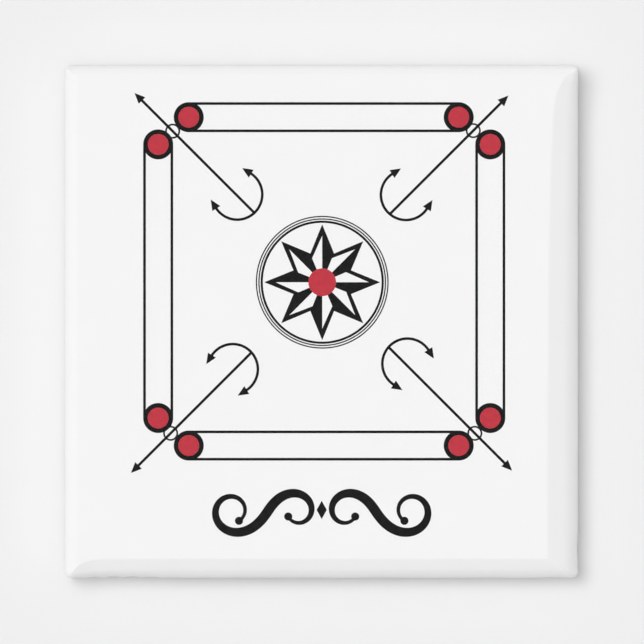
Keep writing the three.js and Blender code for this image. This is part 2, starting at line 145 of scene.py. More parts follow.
# ---- The back, the magnet and the tape ----
ROUND_FROM = 6 * MM  # rings of the plate are square up to this inset and round from the next
ROUND_FULL = 11 * MM
PLATE_EDGE = HALF_SIDE - PLATE_HIGH.x
PLATE_FLOOR = 1.25 * MM
PLATE_STEP_INSET = 3.0 * MM
PLATE_STEP = 0.3 * MM
POCKET_RADIUS = 13.1 * MM
PLATE_BEND = 0.25 * MM
POCKET_BEND = 0.36 * MM
CENTRE_HOLE = 0.4 * MM  # radius of the last ring, which one flat face closes
PAN_STEP = 1.5 * MM  # the straight stretches of the back are divided into pieces no longer than this
CHIP_SEED = 5
CHIP_COUNT = 9
CHIP_WIDTHS = (0.015, 0.045)  # in radians round the edge
CHIP_DEPTHS = (0.06 * MM, 0.2 * MM)
CHAMFER = 0.25 * MM
GRIT_DEPTH = 0.02 * MM
GRIT_FINENESS = 40
TAPE_SQUASH = 0.3  # share of the tape's thickness that its edges draw in by
TAPE_RAGGED = 0.1 * MM
TAPE_RAGGED_FINENESS = 6
TAPE_RAGGED_HEIGHT = 0.3  # where the noise is sampled, so that it isn't the magnet's

# ---- The marks ----
TOUCH = 0.002 * MM  # inks that meet are this far apart, which shows no bare paper
RULE_WIDTH = 0.26 * MM
BASE_LINES = {"top": 0, "left": math.pi / 2, "bottom": math.pi, "right": -math.pi / 2}
BASE_DISCS = [
    "top_left", "top_right", "left_lower", "left_upper",
    "bottom_right", "bottom_left", "right_upper", "right_lower",
]
LAYOUT_CENTRE = (0.1 * MM, 4.0 * MM)
# Each corner mark's arrow turns by "turn" degrees from +X. "tip", "spot" and "arc" are how far its tip, its
# small circle and its arc's centre are from the layout's centre along each axis, and "aside" is how far the
# arc's centre lies off the arrow, in millimetres.
CORNER_MARKS = [
    {"name": "top_right", "turn": 45, "tip": 18.35, "spot": 14.88, "arc": 8.38, "aside": 0.21},
    {"name": "top_left", "turn": 135, "tip": 18.6, "spot": 14.83, "arc": 8.51, "aside": -0.08},
    {"name": "bottom_left", "turn": -135, "tip": 18.95, "spot": 15.03, "arc": 8.79, "aside": -0.14},
    {"name": "bottom_right", "turn": -45, "tip": 18.72, "spot": 15.03, "arc": 8.26, "aside": 0.16},
]
DIAGONAL_WIDTH = 0.26 * MM
SMALL_CIRCLE_RADIUS = 0.74 * MM
SMALL_CIRCLE_WIDTH = 0.17 * MM
ARC_RADIUS = 2.48 * MM
ARC_WIDTH = 0.26 * MM
ARC_HALF_ANGLE = math.radians(103)
ARROW_LENGTH = 1.05 * MM
ARROW_WIDTH = 0.92 * MM
ARROW_OVERLAP = 0.08 * MM
CENTRE_RINGS = {
    "outer_centre_ring": 0.12 * MM,
    "middle_centre_ring": 0.12 * MM,
    "inner_centre_ring": 0.22 * MM,
}
STAR_POINTS = 8
STAR_NOTCH = 3.07 * MM
FACET_TIP = 4.61 * MM
FACET_SIDE = 2.56 * MM
FACET_TURN = math.radians(23)
# A scroll is drawn from its middle, which is this far from the ornament's own middle. Each of its two halves
# has a direction, a length and the angle that it turns through.
SCROLL_MIDDLE = (5.3 * MM, -0.1 * MM)
SCROLL_HEADING = math.radians(-56)
SCROLL_HALVES = [(-1, 9.2 * MM, math.radians(300)), (1, 13.0 * MM, math.radians(385))]
SCROLL_TIGHTENING = 1.6  # above 1, it turns faster towards its ends
SCROLL_THIN = 0.32 * MM
SCROLL_THICK = 1.0 * MM
SCROLL_TAPER = 1.5  # how soon the stroke thins away from its middle
SCROLL_BALL = 0.4 * MM

# ---- Materials ----
FILM_ROUGHNESS = 0.25
FILM_HAZE = 0.03  # the roughness is this much more or less from place to place
FILM_MIRROR = 0.012  # share that each of the film's two faces mirrors straight on
FILM_MIRROR_GRAZING = 0.12  # and at a grazing angle
PAPER_WHITE = (0.93, 0.93, 0.93)
FLOOR_WHITE = (0.852, 0.852, 0.852)
PAPER_CLOUD = 0.992  # the paper's darkest places are this share of its white
FLOOR_CLOUD = 0.997
BLACK_TONES = ((0.003, 0.003, 0.003), (0.009, 0.009, 0.009))
RED_TONES = ((0.51, 0.037, 0.056), (0.572, 0.044, 0.0655))

# ---- Stage, light and camera ----
FLOOR_REACH = 3.0
LENS = 700.0
SENSOR = 36.0
CLIP_START = 0.01
CLIP_END = 10.0
FIELD = 63.74 * MM  # width of the view at the height of the button's outline
OUTLINE_HEIGHT = 3.1 * MM
OFF_CENTRE = 0.03 * MM  # the button lies this much left of and above the middle of the view
ZENITH = 0.26  # brightness of the tent straight above
HORIZON = 0.42
# Each sun has its share of the light on the floor, its tilt from straight above, its turn from the left
# towards the top, and its width. The sheen and the glints show only in gloss.
OVERHEAD = 0.31
OVERHEAD_SPREAD = math.radians(4)
KEY = 0.42
KEY_TILT = math.radians(19.3)
KEY_TURN = math.radians(31)
KEY_SPREAD = math.radians(32)
SHEEN = 0.035
SHEEN_TILT = math.radians(22)
SHEEN_TURN = math.radians(15)
SHEEN_SPREAD = math.radians(12)
GLINT = 0.05
GLINT_TURNS = {"upper_left": 45, "lower_left": -45, "lower_right": -135}
GLINT_TILT = math.radians(58)
GLINT_SPREAD = math.radians(24)
FLOOR_PAINTED_SHADE = 0.08  # painted shade: how much darker the floor's colour is painted right beside an upright
FLOOR_PAINTED_SHADE_REACH = 4 * MM

# ---- Fineness ----
CORNER_STEPS = 12
CORNER_ROUNDS = 8  # times that a corner is placed again, as its place sets the shoulder's width there
SIDE_STEPS = 72
EVEN_SHARE = 0.45  # how much of a side's spacing is even, and not closer towards the corners
CREASE_STEPS = 5
BEVEL_STEPS = 3
SHOULDER_STEPS = 8
EDGE_STEPS = 12
SKIRT_STEPS = 8
TURN_STEPS = 14
HEM_STEPS = 4
FACE_INSETS = [20 * MM, 14 * MM, 10 * MM, 7 * MM, 5 * MM, 3.6 * MM, 2.6 * MM]
CIRCLE_STEPS = 144
LATHE_STEPS = 288
CHAMFER_STEPS = 4
BEND_STEPS = 8
STROKE_STEPS = 110
SHARP_ANGLE = math.radians(38)
WELD = 1e-5  # points of an outline closer than this, in millimetres, are one


def eased(value, start, end):
    """0 before start, 1 after end, and smooth between them."""
    share = np.clip((np.asarray(value, float) - start) / (end - start), 0, 1)
    return share * share * (3 - 2 * share)


# ---- Meshes ----


def new_piece(name, points, faces, material, nodes):
    """A closed mesh that rides on the button's one body and stands for the CAD nodes."""
    mesh = bpy.data.meshes.new(name)
    mesh.from_pydata([tuple(point) for point in points], [], faces)
    mesh.validate()
    mesh.shade_smooth()
    mesh.set_sharp_from_angle(angle=SHARP_ANGLE)
    mesh.materials.append(material)
    piece = bpy.data.objects.new(name, mesh)
    bpy.context.scene.collection.objects.link(piece)
    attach(piece, "root")
    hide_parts(*nodes)
    return piece


def lofted(rings):
    """Points and faces of a closed skin through rings that all have the same number of points."""
    count = len(rings[0])
    faces = []
    for level in range(len(rings) - 1):
        upper = level * count
        lower = upper + count
        for point in range(count):
            after = (point + 1) % count
            faces.append((upper + point, lower + point, lower + after, upper + after))
    last = (len(rings) - 1) * count
    faces.append(tuple(range(count)))
    faces.append(tuple(range(last + count - 1, last - 1, -1)))
    return np.concatenate(rings), faces


# ---- The button's outlines ----


def shoulder_share(side, along):
    """Width of the shoulder over its drawn width, at shares of the way along a side."""
    full = side["crease"] / CREASE_INSET
    if side["fades"] is None:
        return np.full_like(along, full)
    distance = 2 * HALF_SIDE * (along if side["fades"] == "start" else 1 - along)
    near = 1 - (1 - FADE_LEFT) * np.exp(-((distance / side["fade"]) ** FADE_POWER))
    return full * near * (1 - side["drift"] * np.exp(-distance / DRIFT_LENGTH))


def made_dents():
    """For each side, the strength of the dent near its start and near its end, and its wave's phase."""
    rng = random.Random(DENT_SEED)
    made = []
    for _ in SIDES:
        near_start, near_end = rng.uniform(DENT_LEAST, 1), rng.uniform(DENT_LEAST, 1)
        made.append((near_start, near_end, rng.uniform(0, 2 * math.pi)))
    return made


DENTS = made_dents()


def dent(index, along, inset, z):
    """How far the skirt is pushed in, at distances along a side from its start."""
    start, end, phase = DENTS[index]
    rest = 2 * HALF_SIDE - along
    depth = WAVE_DEPTH * (1 - np.cos(2 * math.pi * along / WAVE_LENGTH + phase)) / 2
    for strength, distance in ((start, along), (end, rest)):
        depth = depth + DENT_DEPTH * strength * np.exp(-(((distance - DENT_FROM_CORNER) / DENT_WIDTH) ** 2))
        ripple = (1 - np.cos(2 * math.pi * distance / PLEAT_PITCH)) / 2
        depth = depth + PLEAT_DEPTH * ripple * np.exp(-distance / PLEAT_REACH)
    if index == BUCKLED_SIDE:
        ripple = (1 - np.cos(2 * math.pi * along / BUCKLE_PITCH)) / 2
        depth = depth + BUCKLE_DEPTH * ripple * np.exp(-(((along - BUCKLE_MIDDLE) / BUCKLE_WIDTH) ** 2))
    by_height = 1 - eased(z, DENT_HEIGHT, DENT_TOP)
    ends = eased(along, 0, CORNER_RADIUS) * eased(rest, 0, CORNER_RADIUS)
    return depth * by_height * ends * (1 - eased(inset, DENT_INSET / 2, DENT_INSET))


def side_shares():
    """Shares of the way along a side for its inner points, closer together towards the corners."""
    steps = np.arange(1, SIDE_STEPS) / SIDE_STEPS
    return EVEN_SHARE * steps + (1 - EVEN_SHARE) * (1 - np.cos(math.pi * steps)) / 2


SHARES = side_shares()


def corner_of(last, following, station):
    """Reaches along both sides, radius and both heights where a ring turns from one side to the next."""
    from_before, from_after = 0.0, 0.0
    for _ in range(CORNER_ROUNDS):
        end_of_last = shoulder_share(last, np.array([1 - from_after / (2 * HALF_SIDE)]))
        start_of_next = shoulder_share(following, np.array([from_before / (2 * HALF_SIDE)]))
        inset_before, z_before = (float(value[0]) for value in station(end_of_last, last))
        inset_after, z_after = (float(value[0]) for value in station(start_of_next, following))
        radius = max(CORNER_RADIUS - (inset_before + inset_after) / 2, INNER_CORNER_RADIUS)
        from_before, from_after = inset_before + radius, inset_after + radius
    return HALF_SIDE - from_before, HALF_SIDE - from_after, radius, z_before, z_after


def ring(station):
    """One closed outline of the button. The station gives inset and height for a share and a side."""
    count = len(SIDES)
    corners = [corner_of(SIDES[index - 1], SIDES[index], station) for index in range(count)]
    points = []
    for index, side in enumerate(SIDES):
        before, after, radius, z_before, z_after = corners[index]
        start = index * math.pi / 2
        out = np.array([math.cos(start), math.sin(start)])
        across = np.array([-out[1], out[0]])
        turn = np.linspace(0, 1, CORNER_STEPS + 1)
        angles = turn[:, None] * math.pi / 2
        flat = out * before + across * after + radius * (out * np.cos(angles) + across * np.sin(angles))
        heights = z_before + (z_after - z_before) * eased(turn, 0, 1)
        points.append(np.column_stack([flat, heights]))

        reach_end = corners[(index + 1) % count][1]
        along = before - SHARES * (before + reach_end)
        inset, z = station(shoulder_share(side, (HALF_SIDE - along) / (2 * HALF_SIDE)), side)
        distance = HALF_SIDE - inset - dent(index, HALF_SIDE - along, inset, z)
        flat = out * along[:, None] + across * distance[:, None]
        points.append(np.column_stack([flat, np.broadcast_to(z, len(along))]))
    return np.concatenate(points)


def plain(inset, z):
    """A station that no shift of the press reaches."""

    def at(share, side):
        return inset + 0 * share, z + 0 * share

    return at


# ---- The wrapped sheets: stations at a depth under the outside of the film ----


def at_depth(depth, outer, core):
    """A point on the straight line from the film's outside to the core, both as insets and heights."""
    part = depth / CORE
    return tuple(outside + (inside - outside) * part for outside, inside in zip(outer, core))


def face_station(inset, depth):
    """A point of the flat picture, which moves with the crease and stays put further in."""

    def at(share, side):
        placed = inset + (share - 1) * CREASE_INSET * (1 - eased(inset, CREASE_INSET, SETTLED_INSET))
        return placed, HEIGHT - depth + 0 * share

    return at


def bevel_stretch(share):
    """Widths over drawn widths of the shoulder's edge, which stays tight, and of the rest."""
    edge = EDGE_SHARE * np.minimum(share, 1)
    return edge, (share * CREASE_INSET - edge * EDGE_INSET) / (CREASE_INSET - EDGE_INSET)


def crease_line(slope, full_slope, crease, soft, depth):
    """A point of the crease's own small arc, which ends at full_slope, where the surface has that slope."""
    radius = soft / np.tan(full_slope / 2)
    reach = radius - depth
    return crease + soft - reach * np.sin(slope), HEIGHT - radius + reach * np.cos(slope)


def crease_station(part, depth):
    """part is 0 where the crease leaves the face and 1 where it has reached the bevel."""

    def at(share, side):
        _, wider = bevel_stretch(share)
        slope = np.arctan(math.tan(BEVEL_ANGLE) * side["steep"] * share / wider)
        outer = crease_line(part * slope, slope, share * CREASE_INSET, side["soft"], 0)
        core = crease_line(part * BEVEL_ANGLE, BEVEL_ANGLE, CREASE_INSET, DRAWN_SOFT, CORE)
        return at_depth(depth, outer, core)

    return at


def shoulder_station(inset, drop, slope, depth):
    """A point of the shoulder, from its drawn inset, drop and slope."""

    def at(share, side):
        edge, wider = bevel_stretch(share)
        in_edge = min(inset, EDGE_INSET)
        past_edge = max(drop - EDGE_DROP, 0)
        placed = edge * in_edge + wider * (inset - in_edge)
        fallen = side["steep"] * (share * (drop - past_edge) + edge * past_edge)
        core_fallen = drop * np.maximum(CORE_FOLLOWS * side["steep"] * share, 1)
        core = (inset + CORE * math.sin(slope), HEIGHT - core_fallen - CORE * math.cos(slope))
        return at_depth(depth, (placed, HEIGHT - fallen), core)

    return at


def between(first, last, part):
    """A station part of the way from one station to another."""

    def at(share, side):
        pairs = zip(first(share, side), last(share, side))
        return tuple(start + (end - start) * part for start, end in pairs)

    return at


def stretch(first, last, steps):
    """The stations between two stations."""
    return [between(first, last, step / steps) for step in range(1, steps)]


def shoulder_profile():
    """Insets, drops and slopes of the drawn shoulder, from the bevel's end out to the upright."""
    slope, inset = BEVEL_ANGLE, SHOULDER_INSET
    drop = (CREASE_INSET - SHOULDER_INSET) * math.tan(BEVEL_ANGLE)
    profile = [(inset, drop, slope)]
    bends = [(EDGE_ANGLE, EDGE_INSET, SHOULDER_STEPS), (math.pi / 2, 0, EDGE_STEPS)]
    for last_slope, last_inset, steps in bends:
        radius = (inset - last_inset) / (math.sin(last_slope) - math.sin(slope))
        top = drop + radius * math.cos(slope)
        for angle in np.linspace(slope, last_slope, steps + 1)[1:]:
            here = inset - radius * (math.sin(angle) - math.sin(slope))
            profile.append((here, top - radius * math.cos(angle), angle))
        inset, drop, slope = last_inset, profile[-1][1], last_slope
    return profile


SHOULDER_PROFILE = shoulder_profile()
EDGE_DROP = SHOULDER_PROFILE[SHOULDER_STEPS][1]


def outside_stations(depth):
    """Face, crease, bevel and shoulder, down to the top of the upright skirt."""
    face = [face_station(inset, depth) for inset in FACE_INSETS]
    crease = [crease_station(step / CREASE_STEPS, depth) for step in range(CREASE_STEPS + 1)]
    shoulder = [shoulder_station(*point, depth) for point in SHOULDER_PROFILE]
    return face + crease + stretch(crease[-1], shoulder[0], BEVEL_STEPS) + shoulder


def hem_stations(depth):
    """The turn round the shell's lower edge, and the hem that runs up inside it."""
    radius = TURN_RADIUS - depth
    turn = []
    for angle in np.linspace(0, math.pi, TURN_STEPS + 1):
        turn.append(plain(TURN_RADIUS - radius * math.cos(angle), TURN_HEIGHT - radius * math.sin(angle)))
    top = plain(TURN_RADIUS + radius, HEM_TOP)
    return turn + stretch(turn[-1], top, HEM_STEPS) + [top]


def shell_end(depth):
    """The pressed shell ends square, inside the turn of the film and the paper."""
    return [plain(depth, TURN_HEIGHT)]


def shifted(station, inward):
    """A station moved inward."""

    def at(share, side):
        inset, z = station(share, side)
        return inset + inward, z

    return at


def skirt_stations(first, last, depth):
    """The upright skirt, where the film and the face of the paper are pulled tight to the outline."""
    pull = SKIRT_PULL * depth if depth <= PAPER_DEPTH else 0
    stations = []
    for step in range(1, SKIRT_STEPS):
        part = step / SKIRT_STEPS
        stations.append(shifted(between(first, last, part), -pull * math.sin(math.pi * part)))
    return stations


def sheet_side(depth, tail):
    """One face of a sheet: everything outside, the skirt, and then its tail."""
    outside = outside_stations(depth)
    return outside + skirt_stations(outside[-1], tail[0], depth) + tail


def wrapped(name, depth, thickness, tail_of, material, node):
    """A sheet that covers the face and the skirt, and ends in its tail."""
    outer = sheet_side(depth, tail_of(depth))
    inner = sheet_side(depth + thickness, tail_of(depth + thickness))
    points, faces = lofted([ring(station) for station in outer + inner[::-1]])
    return new_piece(name, points, faces, material, [node])


# ---- The back ----


def plate_ring(inset, z):
    """A ring of the back plate: square near its edge, round at its pocket."""
    square = ring(plain(min(inset, ROUND_FULL), z))
    directions = ring(plain(ROUND_FROM, z))[:, :2]
    directions = directions / np.linalg.norm(directions, axis=1)[:, None]
    rounded = np.column_stack([directions * (HALF_SIDE - inset), np.full(len(square), z)])
    share = eased(inset, ROUND_FROM, ROUND_FULL)
    return square * (1 - share) + rounded * share


def bent(corners, radii):
    """A path through corners, with an arc of the given radius at each inner one."""
    path = [np.array(corners[0])]
    for index, radius in enumerate(radii, start=1):
        corner = np.array(corners[index])
        back = np.array(corners[index - 1]) - corner
        ahead = np.array(corners[index + 1]) - corner
        back = back / np.linalg.norm(back)
        ahead = ahead / np.linalg.norm(ahead)
        half = math.acos(float(np.clip(back @ ahead, -1, 1))) / 2
        bisector = (back + ahead) / np.linalg.norm(back + ahead)
        centre = corner + bisector * radius / math.sin(half)
        sweep = math.pi / 2 - half
        side = (back - ahead) / np.linalg.norm(back - ahead)
        for angle in np.linspace(sweep, -sweep, BEND_STEPS + 1):
            path.append(centre - radius * (bisector * math.cos(angle) - side * math.sin(angle)))
    path.append(np.array(corners[-1]))
    return np.array(path)


def finer(path, longest):
    """The same path with its long straight stretches divided."""
    points = [path[0]]
    for start, end in zip(path[:-1], path[1:]):
        steps = max(1, math.ceil(np.linalg.norm(end - start) / longest))
        points += [start + (end - start) * step / steps for step in range(1, steps + 1)]
    return np.array(points)


def both_faces(path, thickness):
    """The two faces of a sheet whose middle follows the path."""
    tangents = np.gradient(path, axis=0)
    tangents = tangents / np.linalg.norm(tangents, axis=1)[:, None]
    normals = np.column_stack([-tangents[:, 1], tangents[:, 0]])
    return path + normals * thickness / 2, path - normals * thickness / 2


def back_pan():
    """The pressed tinplate back: a rim, a border, a raised field and a round pocket."""
    half = TINPLATE / 2
    wall = PLATE_EDGE + half
    border = PLATE_FLOOR + half
    field = border + PLATE_STEP
    pocket_wall = HALF_SIDE - POCKET_RADIUS - half
    pocket_floor = PLATE_HIGH.z - half
    corners = [
        (wall, PLATE_LOW.z),
        (wall, border),
        (PLATE_STEP_INSET, border),
        (PLATE_STEP_INSET + PLATE_STEP, field),
        (pocket_wall, field),
        (pocket_wall, pocket_floor),
        (HALF_SIDE - CENTRE_HOLE, pocket_floor),
    ]
    radii = [PLATE_BEND, PLATE_BEND, PLATE_BEND, POCKET_BEND, POCKET_BEND]
    path = finer(bent(corners, radii), PAN_STEP)
    upper, under = both_faces(path, TINPLATE)
    profile = [*upper[::-1], *under]
    points, faces = lofted([plate_ring(inset, z) for inset, z in profile])
    return new_piece("back_pan", points, faces, tinplate(), ["back_plate"])


def turned(profile, wobble):
    """Points and faces of a lathed disc from radii and heights, the radius changed by angle."""
    angles = np.linspace(0, 2 * math.pi, LATHE_STEPS, endpoint=False)
    rings = []
    for index, (radius, z) in enumerate(profile):
        reach = radius + wobble(index, angles)
        heights = np.full(len(angles), z)
        rings.append(np.column_stack([reach * np.cos(angles), reach * np.sin(angles), heights]))
    return lofted(rings)


def chips():
    """Place, width and depth of each small chip in an edge of the brittle magnet."""
    rng = random.Random(CHIP_SEED)
    return [
        (rng.uniform(0, 2 * math.pi), rng.uniform(*CHIP_WIDTHS), rng.uniform(*CHIP_DEPTHS))
        for _ in range(CHIP_COUNT)
    ]


def uneven(angles, fineness, height):
    """Noise round a circle, from 0 up."""
    return np.abs([noise.noise(Vector((math.cos(a), math.sin(a), height)) * fineness) for a in angles])


def magnet():
    """The ferrite disc: flat ground faces, worn chamfers, and chips in its lower edge."""
    radius = MAGNET_HIGH.x
    top = MAGNET_HIGH.z
    bottom = MAGNET_LOW.z
    shares = np.linspace(0, math.pi / 2, CHAMFER_STEPS + 1)
    upper = [(radius - CHAMFER * (1 - math.sin(a)), top - CHAMFER * (1 - math.cos(a))) for a in shares]
    lower = [(radius - CHAMFER * (1 - math.cos(a)), bottom + CHAMFER * (1 - math.sin(a))) for a in shares]
    flats = [radius / 2, radius - 3 * CHAMFER]
    profile = [(flat, top) for flat in flats] + upper + lower + [(flat, bottom) for flat in flats[::-1]]
    first_low = len(flats) + len(upper)
    last_low = first_low + len(lower) - 1
    marks = chips()

    def wobble(index, angles):
        if not first_low < index <= last_low:
            return np.zeros_like(angles)
        depth = np.zeros_like(angles)
        for place, width, deepest in marks:
            away = np.angle(np.exp(1j * (angles - place)))
            depth = depth + deepest * np.exp(-((away / width) ** 2))
        depth = depth + GRIT_DEPTH * uneven(angles, GRIT_FINENESS, 0)
        return -depth * (index - first_low) / (last_low - first_low)

    points, faces = turned(profile, wobble)
    return new_piece("ferrite_disc", points, faces, ferrite(), ["magnet_disc"])


def tape():
    """The double-sided foam pad between the magnet and its pocket, cut by hand and a little squashed."""
    radius = TAPE_HIGH.x
    middle = (TAPE_LOW.z + TAPE_HIGH.z) / 2
    squash = TAPE_SQUASH * (TAPE_HIGH.z - TAPE_LOW.z)
    profile = [
        (radius - 3 * squash, TAPE_HIGH.z),
        (radius - squash, TAPE_HIGH.z),
        (radius, middle),
        (radius - squash, TAPE_LOW.z),
        (radius - 3 * squash, TAPE_LOW.z),
    ]

    def wobble(index, angles):
        return -TAPE_RAGGED * uneven(angles, TAPE_RAGGED_FINENESS, TAPE_RAGGED_HEIGHT)

    points, faces = turned(profile, wobble)
    return new_piece("foam_pad", points, faces, foam_tape(), ["mounting_tape"])


# ---- Outlines of the marks: a shape is a list of closed loops, filled by the even-odd rule ----


def arc(centre, radius, start, end, steps):
    """Points along an arc, both ends among them."""
    angles = np.linspace(start, end, steps + 1)
    return [(centre[0] + radius * math.cos(a), centre[1] + radius * math.sin(a)) for a in angles]


def circle(centre, radius):
    """A closed loop round a centre."""
    return arc(centre, radius, 0, 2 * math.pi, CIRCLE_STEPS)[:-1]


def moved(loop, turn, offset):
    """A loop turned about the origin and then moved."""
    cosine, sine = math.cos(turn), math.sin(turn)
    return [(x * cosine - y * sine + offset[0], x * sine + y * cosine + offset[1]) for x, y in loop]


def inside(loop, points):
    """Which of the points lie inside a closed loop."""
    start = np.array(loop)
    end = np.roll(start, -1, axis=0)
    x, y = points[:, :1], points[:, 1:]
    crosses = (start[:, 1] > y) != (end[:, 1] > y)
    rise = end[:, 1] - start[:, 1]
    rise = np.where(rise == 0, 1, rise)
    at = start[:, 0] + (y - start[:, 1]) * (end[:, 0] - start[:, 0]) / rise
    return (crosses & (x < at)).sum(axis=1) % 2 == 1


def filled(shape, points):
    """Which of the points lie in a shape."""
    return np.logical_xor.reduce([inside(loop, points) for loop in shape])


def flat_faces(shapes, cuts):
    """Points and triangles of the area that the shapes cover together, less the cuts, in millimetres."""
    points, edges = [], []
    for loop in [loop for shape in [*shapes, *cuts] for loop in shape]:
        first = len(points)
        points += [Vector((x / MM, y / MM)) for x, y in loop]
        edges += [(first + i, first + (i + 1) % len(loop)) for i in range(len(loop))]
    made = geometry.delaunay_2d_cdt(points, edges, [], 0, WELD)
    places = np.array([tuple(point) for point in made[0]])
    triangles = np.array(made[2])
    middles = places[triangles].mean(axis=1) * MM
    keep = np.logical_or.reduce([filled(shape, middles) for shape in shapes])
    for cut in cuts:
        keep &= ~filled(cut, middles)
    a, b, c = (places[triangles[:, i]] for i in range(3))
    area = (b[:, 0] - a[:, 0]) * (c[:, 1] - a[:, 1]) - (b[:, 1] - a[:, 1]) * (c[:, 0] - a[:, 0])
    triangles = np.where((area < 0)[:, None], triangles[:, ::-1], triangles)
    return places, triangles[keep & (area != 0)]


def ink(node, shapes, material, cuts=()):
    """A patch of ink, as a thin closed solid that lies on the paper."""
    places, triangles = flat_faces(shapes, cuts)
    used = np.unique(triangles)
    place_of = {int(old): new for new, old in enumerate(used)}
    top = HEIGHT - INK_DEPTH
    count = len(used)
    points = [(places[i][0] * MM, places[i][1] * MM, top) for i in used]
    points += [(x, y, top - INK) for x, y, _ in points]
    faces, edges = [], set()
    for triangle in triangles:
        a, b, c = (place_of[int(i)] for i in triangle)
        faces.append((a, b, c))
        faces.append((c + count, b + count, a + count))
        edges |= {(a, b), (b, c), (c, a)}
    for start, end in sorted(edges):
        if (end, start) not in edges:
            faces.append((start + count, end + count, end, start))
    return new_piece(f"ink_{node}", points, faces, material, [node])


# ---- The marks ----


def place(node):
    """Centre and half size of a CAD node in plan."""
    low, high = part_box(node)
    return ((low.x + high.x) / 2, (low.y + high.y) / 2), (high.x - low.x) / 2, (high.y - low.y) / 2


def base_line(name, turn):
    """Two fine rules that end in thick rings, each open round its red disc."""
    centre, half_x, half_y = place(f"base_line_{name}")
    radius = min(half_x, half_y)
    along = max(half_x, half_y) - radius
    disc_radius = place("base_disc_top_left")[1] + TOUCH
    quarter = math.pi / 2
    half_circle = CIRCLE_STEPS // 2
    outline = arc((along, 0), radius, -quarter, quarter, half_circle)
    outline += arc((-along, 0), radius, quarter, 3 * quarter, half_circle)
    end = math.asin((radius - RULE_WIDTH) / radius)
    gap = arc((along, 0), radius, math.pi + end, math.pi - end, half_circle)
    gap += arc((-along, 0), radius, end, -end, half_circle)
    loops = [outline, gap, circle((along, 0), disc_radius), circle((-along, 0), disc_radius)]
    shape = [moved(loop, turn, centre) for loop in loops]
    return ink(f"base_line_{name}", [shape], BLACK)


def red_disc(node):
    """A plain disc of red ink where the CAD node is."""
    centre, radius, _ = place(node)
    return ink(node, [[circle(centre, radius)]], RED)


def arrow_head(tip, heading):
    """A solid triangle that ends at its tip."""
    head = [(0, 0), (-ARROW_LENGTH, ARROW_WIDTH / 2), (-ARROW_LENGTH, -ARROW_WIDTH / 2)]
    return moved(head, heading, tip)


def corner_mark(mark):
    """An arrow along the diagonal with a small circle on it and a double-headed arc at its foot."""
    foot = mark["arc"] * MM * math.sqrt(2)
    tip = mark["tip"] * MM * math.sqrt(2)
    aside = mark["aside"] * MM
    half = DIAGONAL_WIDTH / 2
    start, end = foot - ARC_RADIUS, tip - ARROW_LENGTH + ARROW_OVERLAP
    shapes = [
        [[(start, -half), (end, -half), (end, half), (start, half)]],
        [arrow_head((tip, 0), 0)],
    ]
    spot = (mark["spot"] * MM * math.sqrt(2), 0)
    shapes.append([circle(spot, SMALL_CIRCLE_RADIUS), circle(spot, SMALL_CIRCLE_RADIUS - SMALL_CIRCLE_WIDTH)])

    centre = (foot, aside)
    first, last = math.pi - ARC_HALF_ANGLE, math.pi + ARC_HALF_ANGLE
    band = arc(centre, ARC_RADIUS + ARC_WIDTH / 2, first, last, CIRCLE_STEPS)
    band += arc(centre, ARC_RADIUS - ARC_WIDTH / 2, last, first, CIRCLE_STEPS)
    shapes.append([band])
    ahead = ARROW_LENGTH - ARROW_OVERLAP
    for side in (-1, 1):
        angle = math.pi + side * ARC_HALF_ANGLE
        heading = angle + side * math.pi / 2
        x = foot + ARC_RADIUS * math.cos(angle) + ahead * math.cos(heading)
        y = aside + ARC_RADIUS * math.sin(angle) + ahead * math.sin(heading)
        shapes.append([arrow_head((x, y), heading)])

    turn = math.radians(mark["turn"])
    shapes = [[moved(loop, turn, LAYOUT_CENTRE) for loop in shape] for shape in shapes]
    ring_radius = place("base_line_top")[2] + TOUCH
    cuts = [[circle(place(f"base_disc_{name}")[0], ring_radius)] for name in BASE_DISCS]
    return ink(f"corner_mark_{mark['name']}", shapes, BLACK, cuts)


def centre_ring(node, width):
    """A black ring whose outside is the CAD node's."""
    centre, radius, _ = place(node)
    return ink(node, [[circle(centre, radius), circle(centre, radius - width)]], BLACK)


def polar(centre, radius, angle):
    """A point at a radius and an angle from a centre."""
    return (centre[0] + radius * math.cos(angle), centre[1] + radius * math.sin(angle))


def centre_star():
    """The eight-pointed star: black, with a light facet left open on one half of each point."""
    centre, reach, _ = place("centre_star")
    hub = place("centre_disc")[1] + TOUCH
    step = 2 * math.pi / STAR_POINTS
    corners, opening = [], []
    for point in range(STAR_POINTS):
        axis = point * step
        corners += [polar(centre, reach, axis), polar(centre, STAR_NOTCH, axis + step / 2)]
        opening += [polar(centre, FACET_TIP, axis), polar(centre, FACET_SIDE, axis + FACET_TURN)]
        opening += arc(centre, hub, axis + FACET_TURN, axis + step, CIRCLE_STEPS // STAR_POINTS)
    return ink("centre_star", [[corners, opening]], BLACK)


def scroll_half(direction, length, turn):
    """One half of a scroll's centre line from its middle out: x, y, heading and share of the way."""
    step = direction * length / STROKE_STEPS
    x, y = SCROLL_MIDDLE
    half = []
    for index in range(STROKE_STEPS + 1):
        share = index / STROKE_STEPS
        half.append((x, y, SCROLL_HEADING + turn * share**SCROLL_TIGHTENING, share))
        ahead = SCROLL_HEADING + turn * (share + 0.5 / STROKE_STEPS) ** SCROLL_TIGHTENING
        x += step * math.cos(ahead)
        y += step * math.sin(ahead)
    return half


